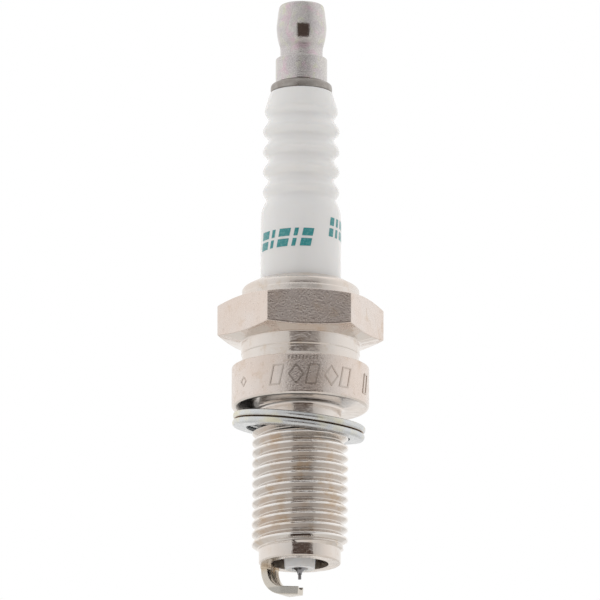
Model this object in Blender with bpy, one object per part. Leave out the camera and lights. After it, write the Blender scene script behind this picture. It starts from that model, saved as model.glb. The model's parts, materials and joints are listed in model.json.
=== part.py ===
"""Motorcycle spark plug with an M12 x 1.25 thread, a 19 mm reach and an 18 mm hexagon.

Run it with: blender --background --python part.py

The plug's axis is Z, with the terminal at the top. The frame's origin is on the axis, level with the ground
electrode's lowest point. Heights in the constants and the sections are measured from the gasket seat, the
collar's flat underside, and the pieces hang from an empty there. One hexagon flat faces -Y.
Sizes are in millimetres and are scaled to metres as meshes are made.
"""

import math

import bmesh
import bpy
from mathutils import Matrix, Vector

MM = 0.001
MERGE = 1e-7

# Metal shell: thread, seat and hexagon
THREAD_CREST_R = 5.95
THREAD_ROOT_R = 5.2
THREAD_PITCH = 1.25
THREAD_TOP_Z = -2.35
THREAD_BOTTOM_Z = -17.45
THREAD_FADE_TOP = 0.75
THREAD_FADE_BOTTOM = 0.6
THREAD_START_DEG = 148.7  # turn angle at which a crest lies on the thread's bottom end
NECK_R = 5.05
NOSE_R = 5.05
REACH = 19.05
NOSE_BORE_R = 3.55
SEAT_EDGE_R = 8.15
COLLAR_R = 8.45
COLLAR_TOP_Z = 4.98
GROOVE_R = 7.2
HEX_ACROSS_FLATS = 17.9
HEX_BOTTOM_Z = 8.37  # mid-face; the corners are cut back by a cone at each end
HEX_TOP_Z = 12.78
HEX_UNDER_SLOPE = 0.25
HEX_OVER_SLOPE = 0.31
CRIMP_R = 7.24
CRIMP_TOP_Z = 15.55
TALC_BORE_R = 6.45
SHELL_BORE_R = 4.2
LEDGE_R = 3.3

# Insulator
INSULATOR_TOP_Z = 38.8
INSULATOR_TOP_R = 3.82
FLARE_R = 4.6
FLARE_Z = 36.4
RIB_COUNT = 4
RIB_PITCH = 2.475
RIB_TOP_Z = 35.5  # the valley above the first rib
RIB_PEAK_R = 4.72
RIB_VALLEY_R = 4.02
RIB_PEAK_AT = 0.62  # share of the pitch, from the valley above, at which a rib is widest
LAST_VALLEY_R = 4.3
HEAD_R = 4.97
HEAD_SHOULDER_Z = 23.4
BELLY_R = 6.35
BODY_R = 4.1
INSULATOR_TIP_R = 1.84
INSULATOR_TIP_Z = -19.65
STUD_BORE_R = 1.95
ELECTRODE_BORE_R = 0.99

# Terminal
STUD_FLANGE_R = 3.78
STUD_FLANGE_TOP_Z = 39.82
STUD_THREAD_R = 1.97
STUD_THREAD_ROOT_R = 1.57
STUD_THREAD_PITCH = 0.7
STUD_TOP_Z = 47.6
STUD_SHANK_R = 1.8
KNURL_R = 1.58
KNURL_GROOVE_R = 1.44
KNURL_BOTTOM_Z = 6.5
KNURL_TOP_Z = 9.8
KNURL_RINGS = 4
NUT_R = 3.175
NUT_WAIST_R = 2.62
NUT_BULGE_R = 3.1
NUT_BOTTOM_Z = 39.92
NUT_BARREL_TOP_Z = 42.93
NUT_TOP_Z = 49.6
NUT_BORE_R = 2.05
NUT_BORE_TOP_Z = 47.95

# Conductors inside the insulator
FILL_R = 1.88
FIT_GAP = 0.1
ELECTRODE_R = 0.92
ELECTRODE_HEAD_R = 1.75
ELECTRODE_TOP_Z = -4.6
COPPER_CORE_R = 0.5
COPPER_CORE_BOTTOM_Z = -17.3
IRIDIUM_R = 0.2
IRIDIUM_TIP_Z = -20.95
IRIDIUM_ROOT_Z = -19.95

# Ground electrode
SPARK_GAP = 0.9
GROUND_THICKNESS = 1.0
GROUND_WIDTH = 2.5
GROUND_TIP_WIDTH = 1.1
GROUND_OUTER_R = 5.0  # distance of its outer face from the plug's axis
GROUND_BEND_R = 2.8  # of the centre line
GROUND_BEND_DEG = 85.0
GROUND_TIP_PAST_AXIS = 0.12
GROUND_TURN_DEG = 138.2  # where on the shell's end it is welded
GROUND_GROOVE_WIDTH = 0.9
GROUND_GROOVE_DEPTH = 0.35
WELD_GAP = 0.05

# Gasket, folded from one strip of sheet steel, hanging loose and tilted on the shell's neck
GASKET_R = 8.2
GASKET_SHEET = 0.38
GASKET_LAYER_STEP = 0.45  # from one layer's middle to the next
GASKET_BORE_R = 6.42
GASKET_LIP_BORE_R = 5.62  # the top layer's own hole, too small to pass the thread
GASKET_CENTRE = (-0.17, 0.05, -2.15)
GASKET_TILT_DEG = 8.5
GASKET_LOW_SIDE_DEG = -48.7

GASKET_HINGE_R = 8.0  # its highest edge, where it touches the shell as it swings up
GASKET_HINGE_Z = 0.865  # above the ring's middle

# The frame's origin is on the plug's axis, level with the ground electrode's lowest point
SEAT_HEIGHT = 22.86

SHELL_COLUMNS = 30
SMALL_COLUMNS = 24
THREAD_COLUMNS = 18


def clear_scene():
    for obj in list(bpy.data.objects):
        bpy.data.objects.remove(obj)


def make_material(name, colour, roughness, metallic):
    material = bpy.data.materials.new(name)
    material.use_nodes = True
    shader = material.node_tree.nodes["Principled BSDF"]
    shader.inputs["Base Color"].default_value = (*colour, 1.0)
    shader.inputs["Roughness"].default_value = roughness
    shader.inputs["Metallic"].default_value = metallic
    return material


def finish_object(name, mesh_data, material, smooth_deg=35.0):
    """Closes up a bmesh into a named object whose faces point out."""
    bmesh.ops.remove_doubles(mesh_data, verts=mesh_data.verts, dist=MERGE)
    bmesh.ops.dissolve_degenerate(mesh_data, edges=mesh_data.edges, dist=MERGE)
    bmesh.ops.recalc_face_normals(mesh_data, faces=mesh_data.faces)
    mesh = bpy.data.meshes.new(name)
    mesh_data.to_mesh(mesh)
    mesh_data.free()
    mesh.materials.append(material)
    mesh.shade_smooth()
    mesh.set_sharp_from_angle(angle=math.radians(smooth_deg))
    obj = bpy.data.objects.new(name, mesh)
    bpy.context.scene.collection.objects.link(obj)
    return obj


def turned(name, section_at, material, columns=SMALL_COLUMNS):
    """A body turned about Z. section_at(angle) gives its closed section there, as (radius, height) points.

    Every angle has the same number of points. The last column lies on the first, where a thread's section
    has moved on by one pitch, and the merge joins the two.
    """
    mesh_data = bmesh.new()
    grid = []
    for i in range(columns + 1):
        angle = 2 * math.pi * i / columns
        around = 0.0 if i == columns else angle
        direction = Vector((math.cos(around), math.sin(around), 0.0))
        grid.append(
            [mesh_data.verts.new((direction * r + Vector((0, 0, z))) * MM) for r, z in section_at(angle)]
        )
    for left, right in zip(grid, grid[1:]):
        for j in range(len(left)):
            k = (j + 1) % len(left)
            mesh_data.faces.new((left[j], right[j], right[k], left[k]))
    return finish_object(name, mesh_data, material)


def arc(centre, radius, start_deg, end_deg, steps):
    """Points on an arc in the (radius, height) plane, both ends included."""
    points = []
    for i in range(steps + 1):
        angle = math.radians(start_deg + (end_deg - start_deg) * i / steps)
        points.append((centre[0] + radius * math.cos(angle), centre[1] + radius * math.sin(angle)))
    return points


def thread_points(angle, low_z, high_z, pitch, crest_r, root_r, relief_r, fade_low, fade_high, start_deg=0.0):
    """A right-hand thread's section at an angle, from low_z up to high_z, fading to relief_r at both ends."""
    shape = ((0.0, root_r), (0.42, crest_r), (0.58, crest_r))
    turn = (angle - math.radians(start_deg)) / (2 * math.pi)
    points = []
    for k in range(-2, math.ceil((high_z - low_z) / pitch) + 2):
        for share, radius in shape:
            z = min(max(low_z + pitch * (k + share + turn), low_z), high_z)
            depth = min((z - low_z) / fade_low, (high_z - z) / fade_high, 1.0)
            points.append((min(radius, relief_r + (crest_r - relief_r) * depth), z))
    return points


def hexagon_radius(angle):
    """Distance from the axis to the hexagon's side, with a corner on +X."""
    from_flat = (math.degrees(angle) % 60.0) - 30.0
    return HEX_ACROSS_FLATS / 2 / math.cos(math.radians(from_flat))


def shell_section(angle):
    hex_r = hexagon_radius(angle)
    past_flat = hex_r - HEX_ACROSS_FLATS / 2
    nose_chamfer = 0.22
    points = [
        (NOSE_BORE_R, -REACH),
        (NOSE_R - nose_chamfer, -REACH),
        (NOSE_R, -REACH + nose_chamfer),
    ]
    points += thread_points(
        angle,
        THREAD_BOTTOM_Z,
        THREAD_TOP_Z,
        THREAD_PITCH,
        THREAD_CREST_R,
        THREAD_ROOT_R,
        NECK_R,
        THREAD_FADE_BOTTOM,
        THREAD_FADE_TOP,
        THREAD_START_DEG,
    )
    seat_fillet = 0.45
    points += arc((NECK_R + seat_fillet, -seat_fillet), seat_fillet, 180, 90, 3)
    points += [
        (SEAT_EDGE_R, 0.0),
        (COLLAR_R, COLLAR_R - SEAT_EDGE_R),
        (COLLAR_R, COLLAR_TOP_Z - 0.1),
        (COLLAR_R - 0.1, COLLAR_TOP_Z),
    ]
    groove_fillet = 0.5
    points += arc((GROOVE_R + groove_fillet, COLLAR_TOP_Z + groove_fillet), groove_fillet, 270, 180, 3)
    cone_r = GROOVE_R + 0.2
    cone_z = HEX_BOTTOM_Z - (HEX_ACROSS_FLATS / 2 - cone_r) * HEX_UNDER_SLOPE
    points += [
        (GROOVE_R, 6.3),
        (GROOVE_R + 0.1, 6.6),
        (GROOVE_R + 0.1, cone_z - 0.1),
        (cone_r, cone_z),
        (hex_r, HEX_BOTTOM_Z + past_flat * HEX_UNDER_SLOPE),
        (hex_r, HEX_TOP_Z - past_flat * HEX_OVER_SLOPE),
        (HEX_ACROSS_FLATS / 2 - 0.05, HEX_TOP_Z + 0.02),
        (CRIMP_R + 0.3, HEX_TOP_Z + 0.12),
        (CRIMP_R + 0.08, HEX_TOP_Z + 0.3),
        (CRIMP_R + 0.08, 13.75),
        (CRIMP_R, 13.85),
    ]
    rim = 0.5
    points += arc((CRIMP_R - rim, 14.25), rim, 0, 60, 3)
    points += [
        (6.4, CRIMP_TOP_Z - 0.58),
        (5.7, CRIMP_TOP_Z - 0.22),
        (5.4, CRIMP_TOP_Z - 0.05),
        (HEAD_R + 0.2, CRIMP_TOP_Z),
        (HEAD_R + 0.12, CRIMP_TOP_Z - 0.2),
        (5.35, 14.85),
        (5.8, 14.5),
        (TALC_BORE_R, 14.0),
        (TALC_BORE_R, 4.9),
        (SHELL_BORE_R, 3.5),
        (SHELL_BORE_R, -6.5),
        (LEDGE_R, -6.5 - (SHELL_BORE_R - LEDGE_R)),
        (LEDGE_R, -8.8),
        (NOSE_BORE_R, -9.1),
    ]
    return points


def rib_points(steps):
    """The insulator's ribs, from the last valley up to the first."""
    points = []
    for i in range(RIB_COUNT * steps + 1):
        share = (i / steps) % 1.0
        z = RIB_TOP_Z - RIB_PITCH * i / steps
        if share < RIB_PEAK_AT:
            rise = 0.5 - 0.5 * math.cos(math.pi * share / RIB_PEAK_AT)
        else:
            rise = 0.5 + 0.5 * math.cos(math.pi * (share - RIB_PEAK_AT) / (1 - RIB_PEAK_AT))
        valley = LAST_VALLEY_R if i == RIB_COUNT * steps else RIB_VALLEY_R
        points.append((valley + (RIB_PEAK_R - valley) * rise, z))
    return points[::-1]


def insulator_section(_angle):
    return [
        (ELECTRODE_BORE_R, INSULATOR_TIP_Z),
        (INSULATOR_TIP_R - 0.2, INSULATOR_TIP_Z),
        (INSULATOR_TIP_R, INSULATOR_TIP_Z + 0.2),
        (2.75, -9.0),
        (2.85, -7.3),
        (3.0, -6.95),
        (BODY_R, -6.95 + BODY_R - 3.0),
        (BODY_R, 4.1),
        (BELLY_R, 5.5),
        (BELLY_R, 9.3),
        (HEAD_R + 0.15, 10.3),
        (HEAD_R, 10.5),
        (HEAD_R, HEAD_SHOULDER_Z),
        (HEAD_R - 0.09, HEAD_SHOULDER_Z + 0.55),
        (HEAD_R - 0.27, HEAD_SHOULDER_Z + 1.15),
        (LAST_VALLEY_R + 0.12, HEAD_SHOULDER_Z + 1.8),
        *rib_points(7),
        (RIB_VALLEY_R + 0.15, RIB_TOP_Z + 0.25),
        (FLARE_R - 0.08, FLARE_Z - 0.3),
        (FLARE_R, FLARE_Z),
        (FLARE_R - 0.1, FLARE_Z + 0.5),
        (INSULATOR_TOP_R + 0.1, INSULATOR_TOP_Z - 0.4),
        (INSULATOR_TOP_R, INSULATOR_TOP_Z),
        (STUD_BORE_R, INSULATOR_TOP_Z),
        (STUD_BORE_R, -6.2),
        (ELECTRODE_BORE_R, -6.9),
    ]


def nut_section(_angle):
    return [
        (0.0, NUT_BORE_TOP_Z + 0.6),
        (NUT_BORE_R, NUT_BORE_TOP_Z),
        (NUT_BORE_R, NUT_BOTTOM_Z + 0.3),
        (NUT_BORE_R + 0.3, NUT_BOTTOM_Z),
        (NUT_R - 0.1, NUT_BOTTOM_Z),
        (NUT_R, NUT_BOTTOM_Z + 0.1),
        (NUT_R, NUT_BARREL_TOP_Z - 0.12),
        (NUT_R - 0.12, NUT_BARREL_TOP_Z),
        (NUT_WAIST_R + 0.1, NUT_BARREL_TOP_Z + 0.03),
        (NUT_WAIST_R, NUT_BARREL_TOP_Z + 0.15),
        (NUT_WAIST_R, 44.3),
        (NUT_WAIST_R + 0.16, 44.9),
        (NUT_BULGE_R - 0.1, 45.9),
        (NUT_BULGE_R, 46.6),
        (NUT_BULGE_R, 47.1),
        (NUT_BULGE_R - 0.12, 47.9),
        (NUT_BULGE_R - 0.3, 48.95),
        *arc((2.05, NUT_TOP_Z - 0.72), 0.72, 15, 90, 4),
        (0.0, NUT_TOP_Z),
    ]


def knurl_points():
    """Locking rings round the stud's lower end, from the bottom up."""
    step = (KNURL_TOP_Z - KNURL_BOTTOM_Z) / KNURL_RINGS
    points = []
    for i in range(KNURL_RINGS):
        z = KNURL_BOTTOM_Z + step * i
        points += [(KNURL_GROOVE_R, z), (KNURL_R, z + 0.25 * step), (KNURL_R, z + 0.7 * step)]
    return points


def stud_section(angle):
    thread_low_z = STUD_FLANGE_TOP_Z + 0.35
    flange_bottom_z = INSULATOR_TOP_Z + 0.05
    rounding = 0.6
    return [
        (0.0, KNURL_BOTTOM_Z),
        *knurl_points(),
        (STUD_SHANK_R, KNURL_TOP_Z),
        (STUD_SHANK_R, flange_bottom_z),
        (STUD_FLANGE_R - 0.08, flange_bottom_z),
        (STUD_FLANGE_R, flange_bottom_z + 0.2),
        *arc((STUD_FLANGE_R - rounding, STUD_FLANGE_TOP_Z - rounding), rounding, 0, 80, 3),
        (STUD_THREAD_ROOT_R, STUD_FLANGE_TOP_Z),
        *thread_points(
            angle,
            thread_low_z,
            STUD_TOP_Z - 0.2,
            STUD_THREAD_PITCH,
            STUD_THREAD_R,
            STUD_THREAD_ROOT_R,
            STUD_THREAD_ROOT_R,
            0.4,
            0.4,
        ),
        (STUD_THREAD_ROOT_R - 0.2, STUD_TOP_Z),
        (0.0, STUD_TOP_Z),
    ]


def upper_glass_section(_angle):
    bottom_z = 5.1
    hole_r = KNURL_R + FIT_GAP
    return [
        (0.0, bottom_z),
        (FILL_R, bottom_z),
        (FILL_R, KNURL_TOP_Z - FIT_GAP),
        (hole_r, KNURL_TOP_Z - FIT_GAP),
        (hole_r, KNURL_BOTTOM_Z - FIT_GAP),
        (0.0, KNURL_BOTTOM_Z - FIT_GAP),
    ]


def resistor_section(_angle):
    return [(0.0, -2.5), (FILL_R, -2.5), (FILL_R, 5.0), (0.0, 5.0)]


def lower_glass_section(_angle):
    hole_r = ELECTRODE_R + FIT_GAP
    bottom_z = -5.5
    return [
        (hole_r, bottom_z),
        (FILL_R, bottom_z),
        (FILL_R, -2.6),
        (0.0, -2.6),
        (0.0, ELECTRODE_TOP_Z + FIT_GAP),
        (hole_r, ELECTRODE_TOP_Z + FIT_GAP),
    ]


def electrode_flare_points():
    """The firing end, drawn down to the iridium tip in a hollow curve."""
    top_z = -19.66
    bottom_z = -20.35
    points = []
    for i in range(5):
        share = i / 4
        radius = 0.27 + (0.82 - 0.27) * (1 - share) ** 2.2
        points.append((radius, top_z + (bottom_z - top_z) * share))
    return points


def electrode_section(_angle):
    core_r = COPPER_CORE_R + 0.06
    tip_hole_r = IRIDIUM_R + 0.03
    return [
        (0.0, COPPER_CORE_BOTTOM_Z - FIT_GAP),
        (core_r, COPPER_CORE_BOTTOM_Z - FIT_GAP),
        (core_r, ELECTRODE_TOP_Z),
        (ELECTRODE_R, ELECTRODE_TOP_Z),
        (ELECTRODE_R, -5.65),
        (ELECTRODE_HEAD_R, -5.65),
        (ELECTRODE_HEAD_R, -6.1),
        (ELECTRODE_R, -6.75),
        (ELECTRODE_R, -19.2),
        *electrode_flare_points(),
        (tip_hole_r, -20.35),
        (tip_hole_r, IRIDIUM_ROOT_Z + 0.05),
        (0.0, IRIDIUM_ROOT_Z + 0.05),
    ]


def copper_core_section(_angle):
    return [
        (0.0, COPPER_CORE_BOTTOM_Z),
        (COPPER_CORE_R - 0.2, COPPER_CORE_BOTTOM_Z),
        (COPPER_CORE_R, COPPER_CORE_BOTTOM_Z + 0.4),
        (COPPER_CORE_R, ELECTRODE_TOP_Z - 0.05),
        (0.0, ELECTRODE_TOP_Z - 0.05),
    ]


def iridium_section(_angle):
    return [
        (0.0, IRIDIUM_TIP_Z),
        (IRIDIUM_R, IRIDIUM_TIP_Z),
        (IRIDIUM_R, IRIDIUM_ROOT_Z),
        (0.0, IRIDIUM_ROOT_Z),
    ]


def wire_ring(name, centre_r, centre_z, wire_r, material):
    section = arc((centre_r, centre_z), wire_r, 0, 315, 7)
    return turned(name, lambda _angle: section, material)


def talc_section(_angle):
    inner_r = HEAD_R + FIT_GAP
    outer_r = TALC_BORE_R - FIT_GAP
    return [(inner_r, 11.3), (outer_r, 11.3), (outer_r, 13.0), (inner_r, 13.0)]


def seat_washer_section(_angle):
    """A ring dished to the ledge's 45 degree slope."""
    inner_r, outer_r = LEDGE_R + 0.08, SHELL_BORE_R - 0.15
    upper, lower = 10.1, 10.55
    return [
        (inner_r, inner_r - lower),
        (outer_r, outer_r - lower),
        (outer_r, outer_r - upper),
        (inner_r, inner_r - upper),
    ]


def strip_section(path, thickness):
    """The closed outline of a strip of sheet that follows a path of (radius, height) points."""
    sides = ([], [])
    for i, point in enumerate(path):
        before = Vector(path[max(i - 1, 0)])
        after = Vector(path[min(i + 1, len(path) - 1)])
        along = (after - before).normalized()
        across = Vector((-along.y, along.x)) * thickness / 2
        sides[0].append(tuple(Vector(point) + across))
        sides[1].append(tuple(Vector(point) - across))
    return sides[0] + sides[1][::-1]


def gasket_section(_angle):
    """Four layers: the first two and the last two meet in folds outside, the middle two in a fold inside."""
    half = GASKET_LAYER_STEP / 2
    outer_r = GASKET_R - half - GASKET_SHEET / 2
    inner_r = GASKET_BORE_R + half + GASKET_SHEET / 2
    path = [
        (GASKET_LIP_BORE_R, 3 * half),
        *arc((outer_r, 2 * half), half, 90, -90, 4),
        *arc((inner_r, 0.0), half, 90, 270, 4),
        *arc((outer_r, -2 * half), half, 90, -90, 4),
        (GASKET_BORE_R, -3 * half),
    ]
    return strip_section(path, GASKET_SHEET)


def ground_profile(half_width):
    """Section across the electrode as (across, out) points, with a U-groove along its inner face."""
    half = GROUND_THICKNESS / 2
    corner = 0.12
    groove = GROUND_GROOVE_WIDTH / 2
    floor = half - GROUND_GROOVE_DEPTH
    return [
        (-half_width + corner, -half),
        (half_width - corner, -half),
        (half_width, -half + corner),
        (half_width, half - corner),
        (half_width - corner, half),
        (groove, half),
        (0.7 * groove, floor + 0.08),
        (0.35 * groove, floor),
        (-0.35 * groove, floor),
        (-0.7 * groove, floor + 0.08),
        (-groove, half),
        (-half_width + corner, half),
        (-half_width, half - corner),
        (-half_width, -half + corner),
    ]


def ground_path():
    """Centre line as (distance from the axis, height, slope in degrees): down, round a bend, to the tip."""
    half = GROUND_THICKNESS / 2
    start = -GROUND_OUTER_R + half
    end_slope = math.radians(90.0 - GROUND_BEND_DEG)
    leg_top_z = IRIDIUM_TIP_Z - SPARK_GAP
    bend = math.radians(GROUND_BEND_DEG)
    across = GROUND_BEND_R * (1 - math.cos(bend))
    leg_start = start + across
    leg_z = leg_top_z - half / math.cos(end_slope) - leg_start * math.tan(end_slope)
    bend_top_z = leg_z + GROUND_BEND_R * math.sin(bend)
    path = [(start, -REACH - WELD_GAP, 90.0)]
    for i in range(9):
        turn = GROUND_BEND_DEG * i / 8
        angle = math.radians(turn)
        path.append(
            (
                start + GROUND_BEND_R * (1 - math.cos(angle)),
                bend_top_z - GROUND_BEND_R * math.sin(angle),
                90.0 - turn,
            )
        )
    leg = GROUND_TIP_PAST_AXIS - leg_start
    for share in (0.5, 1.0):
        path.append(
            (
                leg_start + leg * share,
                leg_z - leg * share * math.tan(end_slope),
                90.0 - GROUND_BEND_DEG,
            )
        )
    return path


def ground_electrode(material):
    mesh_data = bmesh.new()
    path = ground_path()
    taper_from = -2.1
    rings = []
    for along, z, slope in path:
        share = min(max((along - taper_from) / (GROUND_TIP_PAST_AXIS - taper_from), 0.0), 1.0)
        half_width = (GROUND_WIDTH + (GROUND_TIP_WIDTH - GROUND_WIDTH) * share) / 2
        outward = Vector((math.sin(math.radians(slope)), 0.0, math.cos(math.radians(slope))))
        centre = Vector((along, 0.0, z))
        ring = []
        for across, out in ground_profile(half_width):
            ring.append(mesh_data.verts.new((centre + outward * out + Vector((0.0, across, 0.0))) * MM))
        rings.append(ring)
    for first, second in zip(rings, rings[1:]):
        for j in range(len(first)):
            k = (j + 1) % len(first)
            mesh_data.faces.new((first[j], first[k], second[k], second[j]))
    mesh_data.faces.new(rings[0])
    mesh_data.faces.new(rings[-1][::-1])
    obj = finish_object("ground_electrode", mesh_data, material)
    obj.rotation_euler = (0.0, 0.0, math.radians(GROUND_TURN_DEG + 180.0))
    return obj


def add_empty(name, place, parent=None):
    """An empty at a place in millimetres, measured from its parent."""
    empty = bpy.data.objects.new(name, None)
    empty.location = Vector(place) * MM
    empty.parent = parent
    bpy.context.scene.collection.objects.link(empty)
    return empty


def hang_gasket(ring, seat):
    """Hangs the gasket from its high edge, low on the far side, as it hangs on a loose plug."""
    low_side = math.radians(GASKET_LOW_SIDE_DEG)
    axis = Vector((-math.sin(low_side), math.cos(low_side), 0.0))
    tilt = Matrix.Rotation(math.radians(GASKET_TILT_DEG), 4, axis)
    uphill = Vector((-math.cos(low_side), -math.sin(low_side), 0.0))
    high_edge = uphill * GASKET_HINGE_R + Vector((0.0, 0.0, GASKET_HINGE_Z))
    ring.parent = add_empty("gasket_hinge", Vector(GASKET_CENTRE) + tilt @ high_edge, seat)
    ring.matrix_basis = Matrix.Translation(-(tilt @ high_edge) * MM) @ tilt


def build():
    clear_scene()
    nickel = make_material("nickel_plate", (0.78, 0.73, 0.68), 0.28, 1.0)
    zinc = make_material("zinc_plate", (0.72, 0.70, 0.68), 0.35, 1.0)
    gasket_zinc = make_material("gasket_zinc", (0.78, 0.79, 0.76), 0.3, 1.0)
    ceramic = make_material("glazed_alumina", (0.90, 0.90, 0.89), 0.2, 0.0)
    steel = make_material("bare_steel", (0.55, 0.55, 0.54), 0.4, 1.0)
    alloy = make_material("nickel_alloy", (0.66, 0.63, 0.59), 0.35, 1.0)
    copper = make_material("copper", (0.83, 0.45, 0.30), 0.35, 1.0)
    iridium = make_material("iridium", (0.42, 0.42, 0.44), 0.3, 1.0)
    glass = make_material("conductive_glass", (0.30, 0.22, 0.16), 0.5, 0.0)
    carbon = make_material("resistor_mix", (0.08, 0.08, 0.09), 0.7, 0.0)
    talc = make_material("talc_powder", (0.86, 0.85, 0.82), 0.95, 0.0)

    fixed_pieces = [
        turned("metal_shell", shell_section, nickel, SHELL_COLUMNS),
        ground_electrode(alloy),
        turned("insulator", insulator_section, ceramic),
        turned("terminal_stud", stud_section, steel, THREAD_COLUMNS),
        turned("upper_glass_seal", upper_glass_section, glass),
        turned("resistor", resistor_section, carbon),
        turned("lower_glass_seal", lower_glass_section, glass),
        turned("center_electrode", electrode_section, alloy),
        turned("copper_core", copper_core_section, copper),
        turned("iridium_tip", iridium_section, iridium),
        wire_ring("upper_packing_ring", 5.72, 13.55, 0.5, steel),
        turned("talc_packing", talc_section, talc),
        wire_ring("lower_packing_ring", 5.74, 10.65, 0.55, steel),
        turned("inner_seat_washer", seat_washer_section, copper),
    ]
    seat = add_empty("gasket_seat", (0.0, 0.0, SEAT_HEIGHT))
    for piece in fixed_pieces:
        piece.parent = seat
    terminal_axis = add_empty("terminal_axis", (0.0, 0.0, 0.0), seat)
    turned("terminal_nut", nut_section, zinc).parent = terminal_axis
    hang_gasket(turned("gasket", gasket_section, gasket_zinc, SHELL_COLUMNS), seat)


build()
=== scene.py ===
"""Looks for the spark plug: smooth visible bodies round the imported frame, their materials, and a light tent.

The plug's sizes are in millimetres, scaled to metres as meshes are made, and the studio's are in metres. The
plug's axis is Z, heights are measured from the gasket seat, and one flat of the hexagon faces -Y.
"""

import json
import math

import bmesh
import bpy
from mathutils import Matrix, Vector, noise


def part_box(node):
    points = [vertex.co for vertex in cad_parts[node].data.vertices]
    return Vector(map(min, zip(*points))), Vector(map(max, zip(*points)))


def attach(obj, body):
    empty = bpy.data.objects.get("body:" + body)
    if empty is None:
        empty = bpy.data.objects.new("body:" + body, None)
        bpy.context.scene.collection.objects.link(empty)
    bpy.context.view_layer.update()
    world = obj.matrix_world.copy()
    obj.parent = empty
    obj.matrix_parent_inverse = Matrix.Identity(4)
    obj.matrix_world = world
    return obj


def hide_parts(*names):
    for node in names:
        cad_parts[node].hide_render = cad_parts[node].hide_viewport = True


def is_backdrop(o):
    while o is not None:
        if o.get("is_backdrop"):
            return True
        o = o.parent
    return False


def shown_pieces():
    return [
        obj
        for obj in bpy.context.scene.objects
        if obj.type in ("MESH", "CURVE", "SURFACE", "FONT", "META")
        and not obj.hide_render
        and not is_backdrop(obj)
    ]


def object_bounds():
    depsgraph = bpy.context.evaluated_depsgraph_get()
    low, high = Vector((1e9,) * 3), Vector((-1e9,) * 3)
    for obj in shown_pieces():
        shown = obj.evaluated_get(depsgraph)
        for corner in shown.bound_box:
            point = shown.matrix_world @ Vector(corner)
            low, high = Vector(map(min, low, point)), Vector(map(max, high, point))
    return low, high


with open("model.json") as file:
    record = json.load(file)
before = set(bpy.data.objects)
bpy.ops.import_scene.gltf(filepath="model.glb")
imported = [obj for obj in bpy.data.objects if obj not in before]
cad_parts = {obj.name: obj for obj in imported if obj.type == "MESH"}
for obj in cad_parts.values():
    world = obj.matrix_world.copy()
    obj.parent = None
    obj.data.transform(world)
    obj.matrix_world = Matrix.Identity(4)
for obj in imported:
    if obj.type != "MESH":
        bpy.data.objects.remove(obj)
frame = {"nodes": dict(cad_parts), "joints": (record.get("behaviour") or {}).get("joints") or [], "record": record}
CAD_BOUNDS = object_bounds()
MM = 0.001
SEAT_MOUNT = next(mount for mount in frame["record"]["mounts"] if mount["name"] == "gasket_seat")
SEAT = Vector((0.0, 0.0, SEAT_MOUNT["pos_m"][2]))
TILT_JOINT = next(joint for joint in frame["joints"] if joint["name"] == "gasket_tilt")


def node_box(name):
    """A node's lowest and highest corners in millimetres, with heights from the seat."""
    return [(corner - SEAT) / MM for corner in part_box(name)]


SHELL_LOW, SHELL_HIGH = node_box("metal_shell")
CERAMIC_LOW, CERAMIC_HIGH = node_box("insulator")
STUD_HIGH = node_box("terminal_stud")[1]
NUT_LOW, NUT_HIGH = node_box("terminal_nut")
SHEATH_LOW, SHEATH_HIGH = node_box("center_electrode")
WIRE_LOW, WIRE_HIGH = node_box("iridium_tip")

# Shell
NOSE_Z = SHELL_LOW.z
NOSE_R = 5.05
NOSE_BORE_R = 3.55
THREAD_CREST_R = 5.94
THREAD_ROOT_R = 5.2
THREAD_PITCH = 1.25
THREAD_LOW_Z = -17.45
THREAD_HIGH_Z = -2.35
THREAD_START_DEG = 148.7
COLLAR_R = 8.45
COLLAR_TOP_Z = 4.98
WAIST_R = 7.2
BAND_R = 7.3
BAND_LOW_Z = 6.42
BAND_HIGH_Z = 7.93
FLAT_R = SHELL_HIGH.y
CORNER_R = SHELL_HIGH.x - 0.05
HEX_LOW_Z = 8.37
HEX_HIGH_Z = 12.78
CRIMP_R = 7.24
CRIMP_Z = SHELL_HIGH.z
CAVITY_R = 6.45
SHELL_COLUMNS = 240

# Insulator
HEAD_R = 4.96
RIB_COUNT = 4
RIB_PITCH = 2.475
RIB_TOP_Z = 35.5
RIB_PEAK_R = 4.72
RIB_VALLEY_R = 4.02
LAST_VALLEY_R = 4.3
FLARE_R = 4.6

# Terminal nut
BARREL_R = 3.175
NUT_BORE_R = 2.05
NUT_WAIST_R = 2.61
NUT_WAIST_TOP_Z = 44.36

# Gasket
GASKET_R = 8.19
GASKET_TILT_DEG = 8.5

# Ground electrode: the way its leg points, and the gap from the wire down to the leg
HOOK_TURN_DEG = 318.2
SPARK_GAP = 0.9

# Camera: VIEW_DROP is a share of the viewing distance, and FRAME_MARGIN a share of the frame
VIEW_AZIMUTH_DEG = -6.8
VIEW_ELEVATION_DEG = -13.5
VIEW_LEAN_DEG = 0.2
VIEW_DISTANCE_M = 1.36
VIEW_ASIDE_M = -0.00008
VIEW_DROP = 0.0001
FRAME_MARGIN = 0.006


# ---------------------------------------------------------------------------------------------- shapes


def smoothstep(low, high, value):
    share = min(max((value - low) / (high - low), 0.0), 1.0)
    return share * share * (3 - 2 * share)


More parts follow.
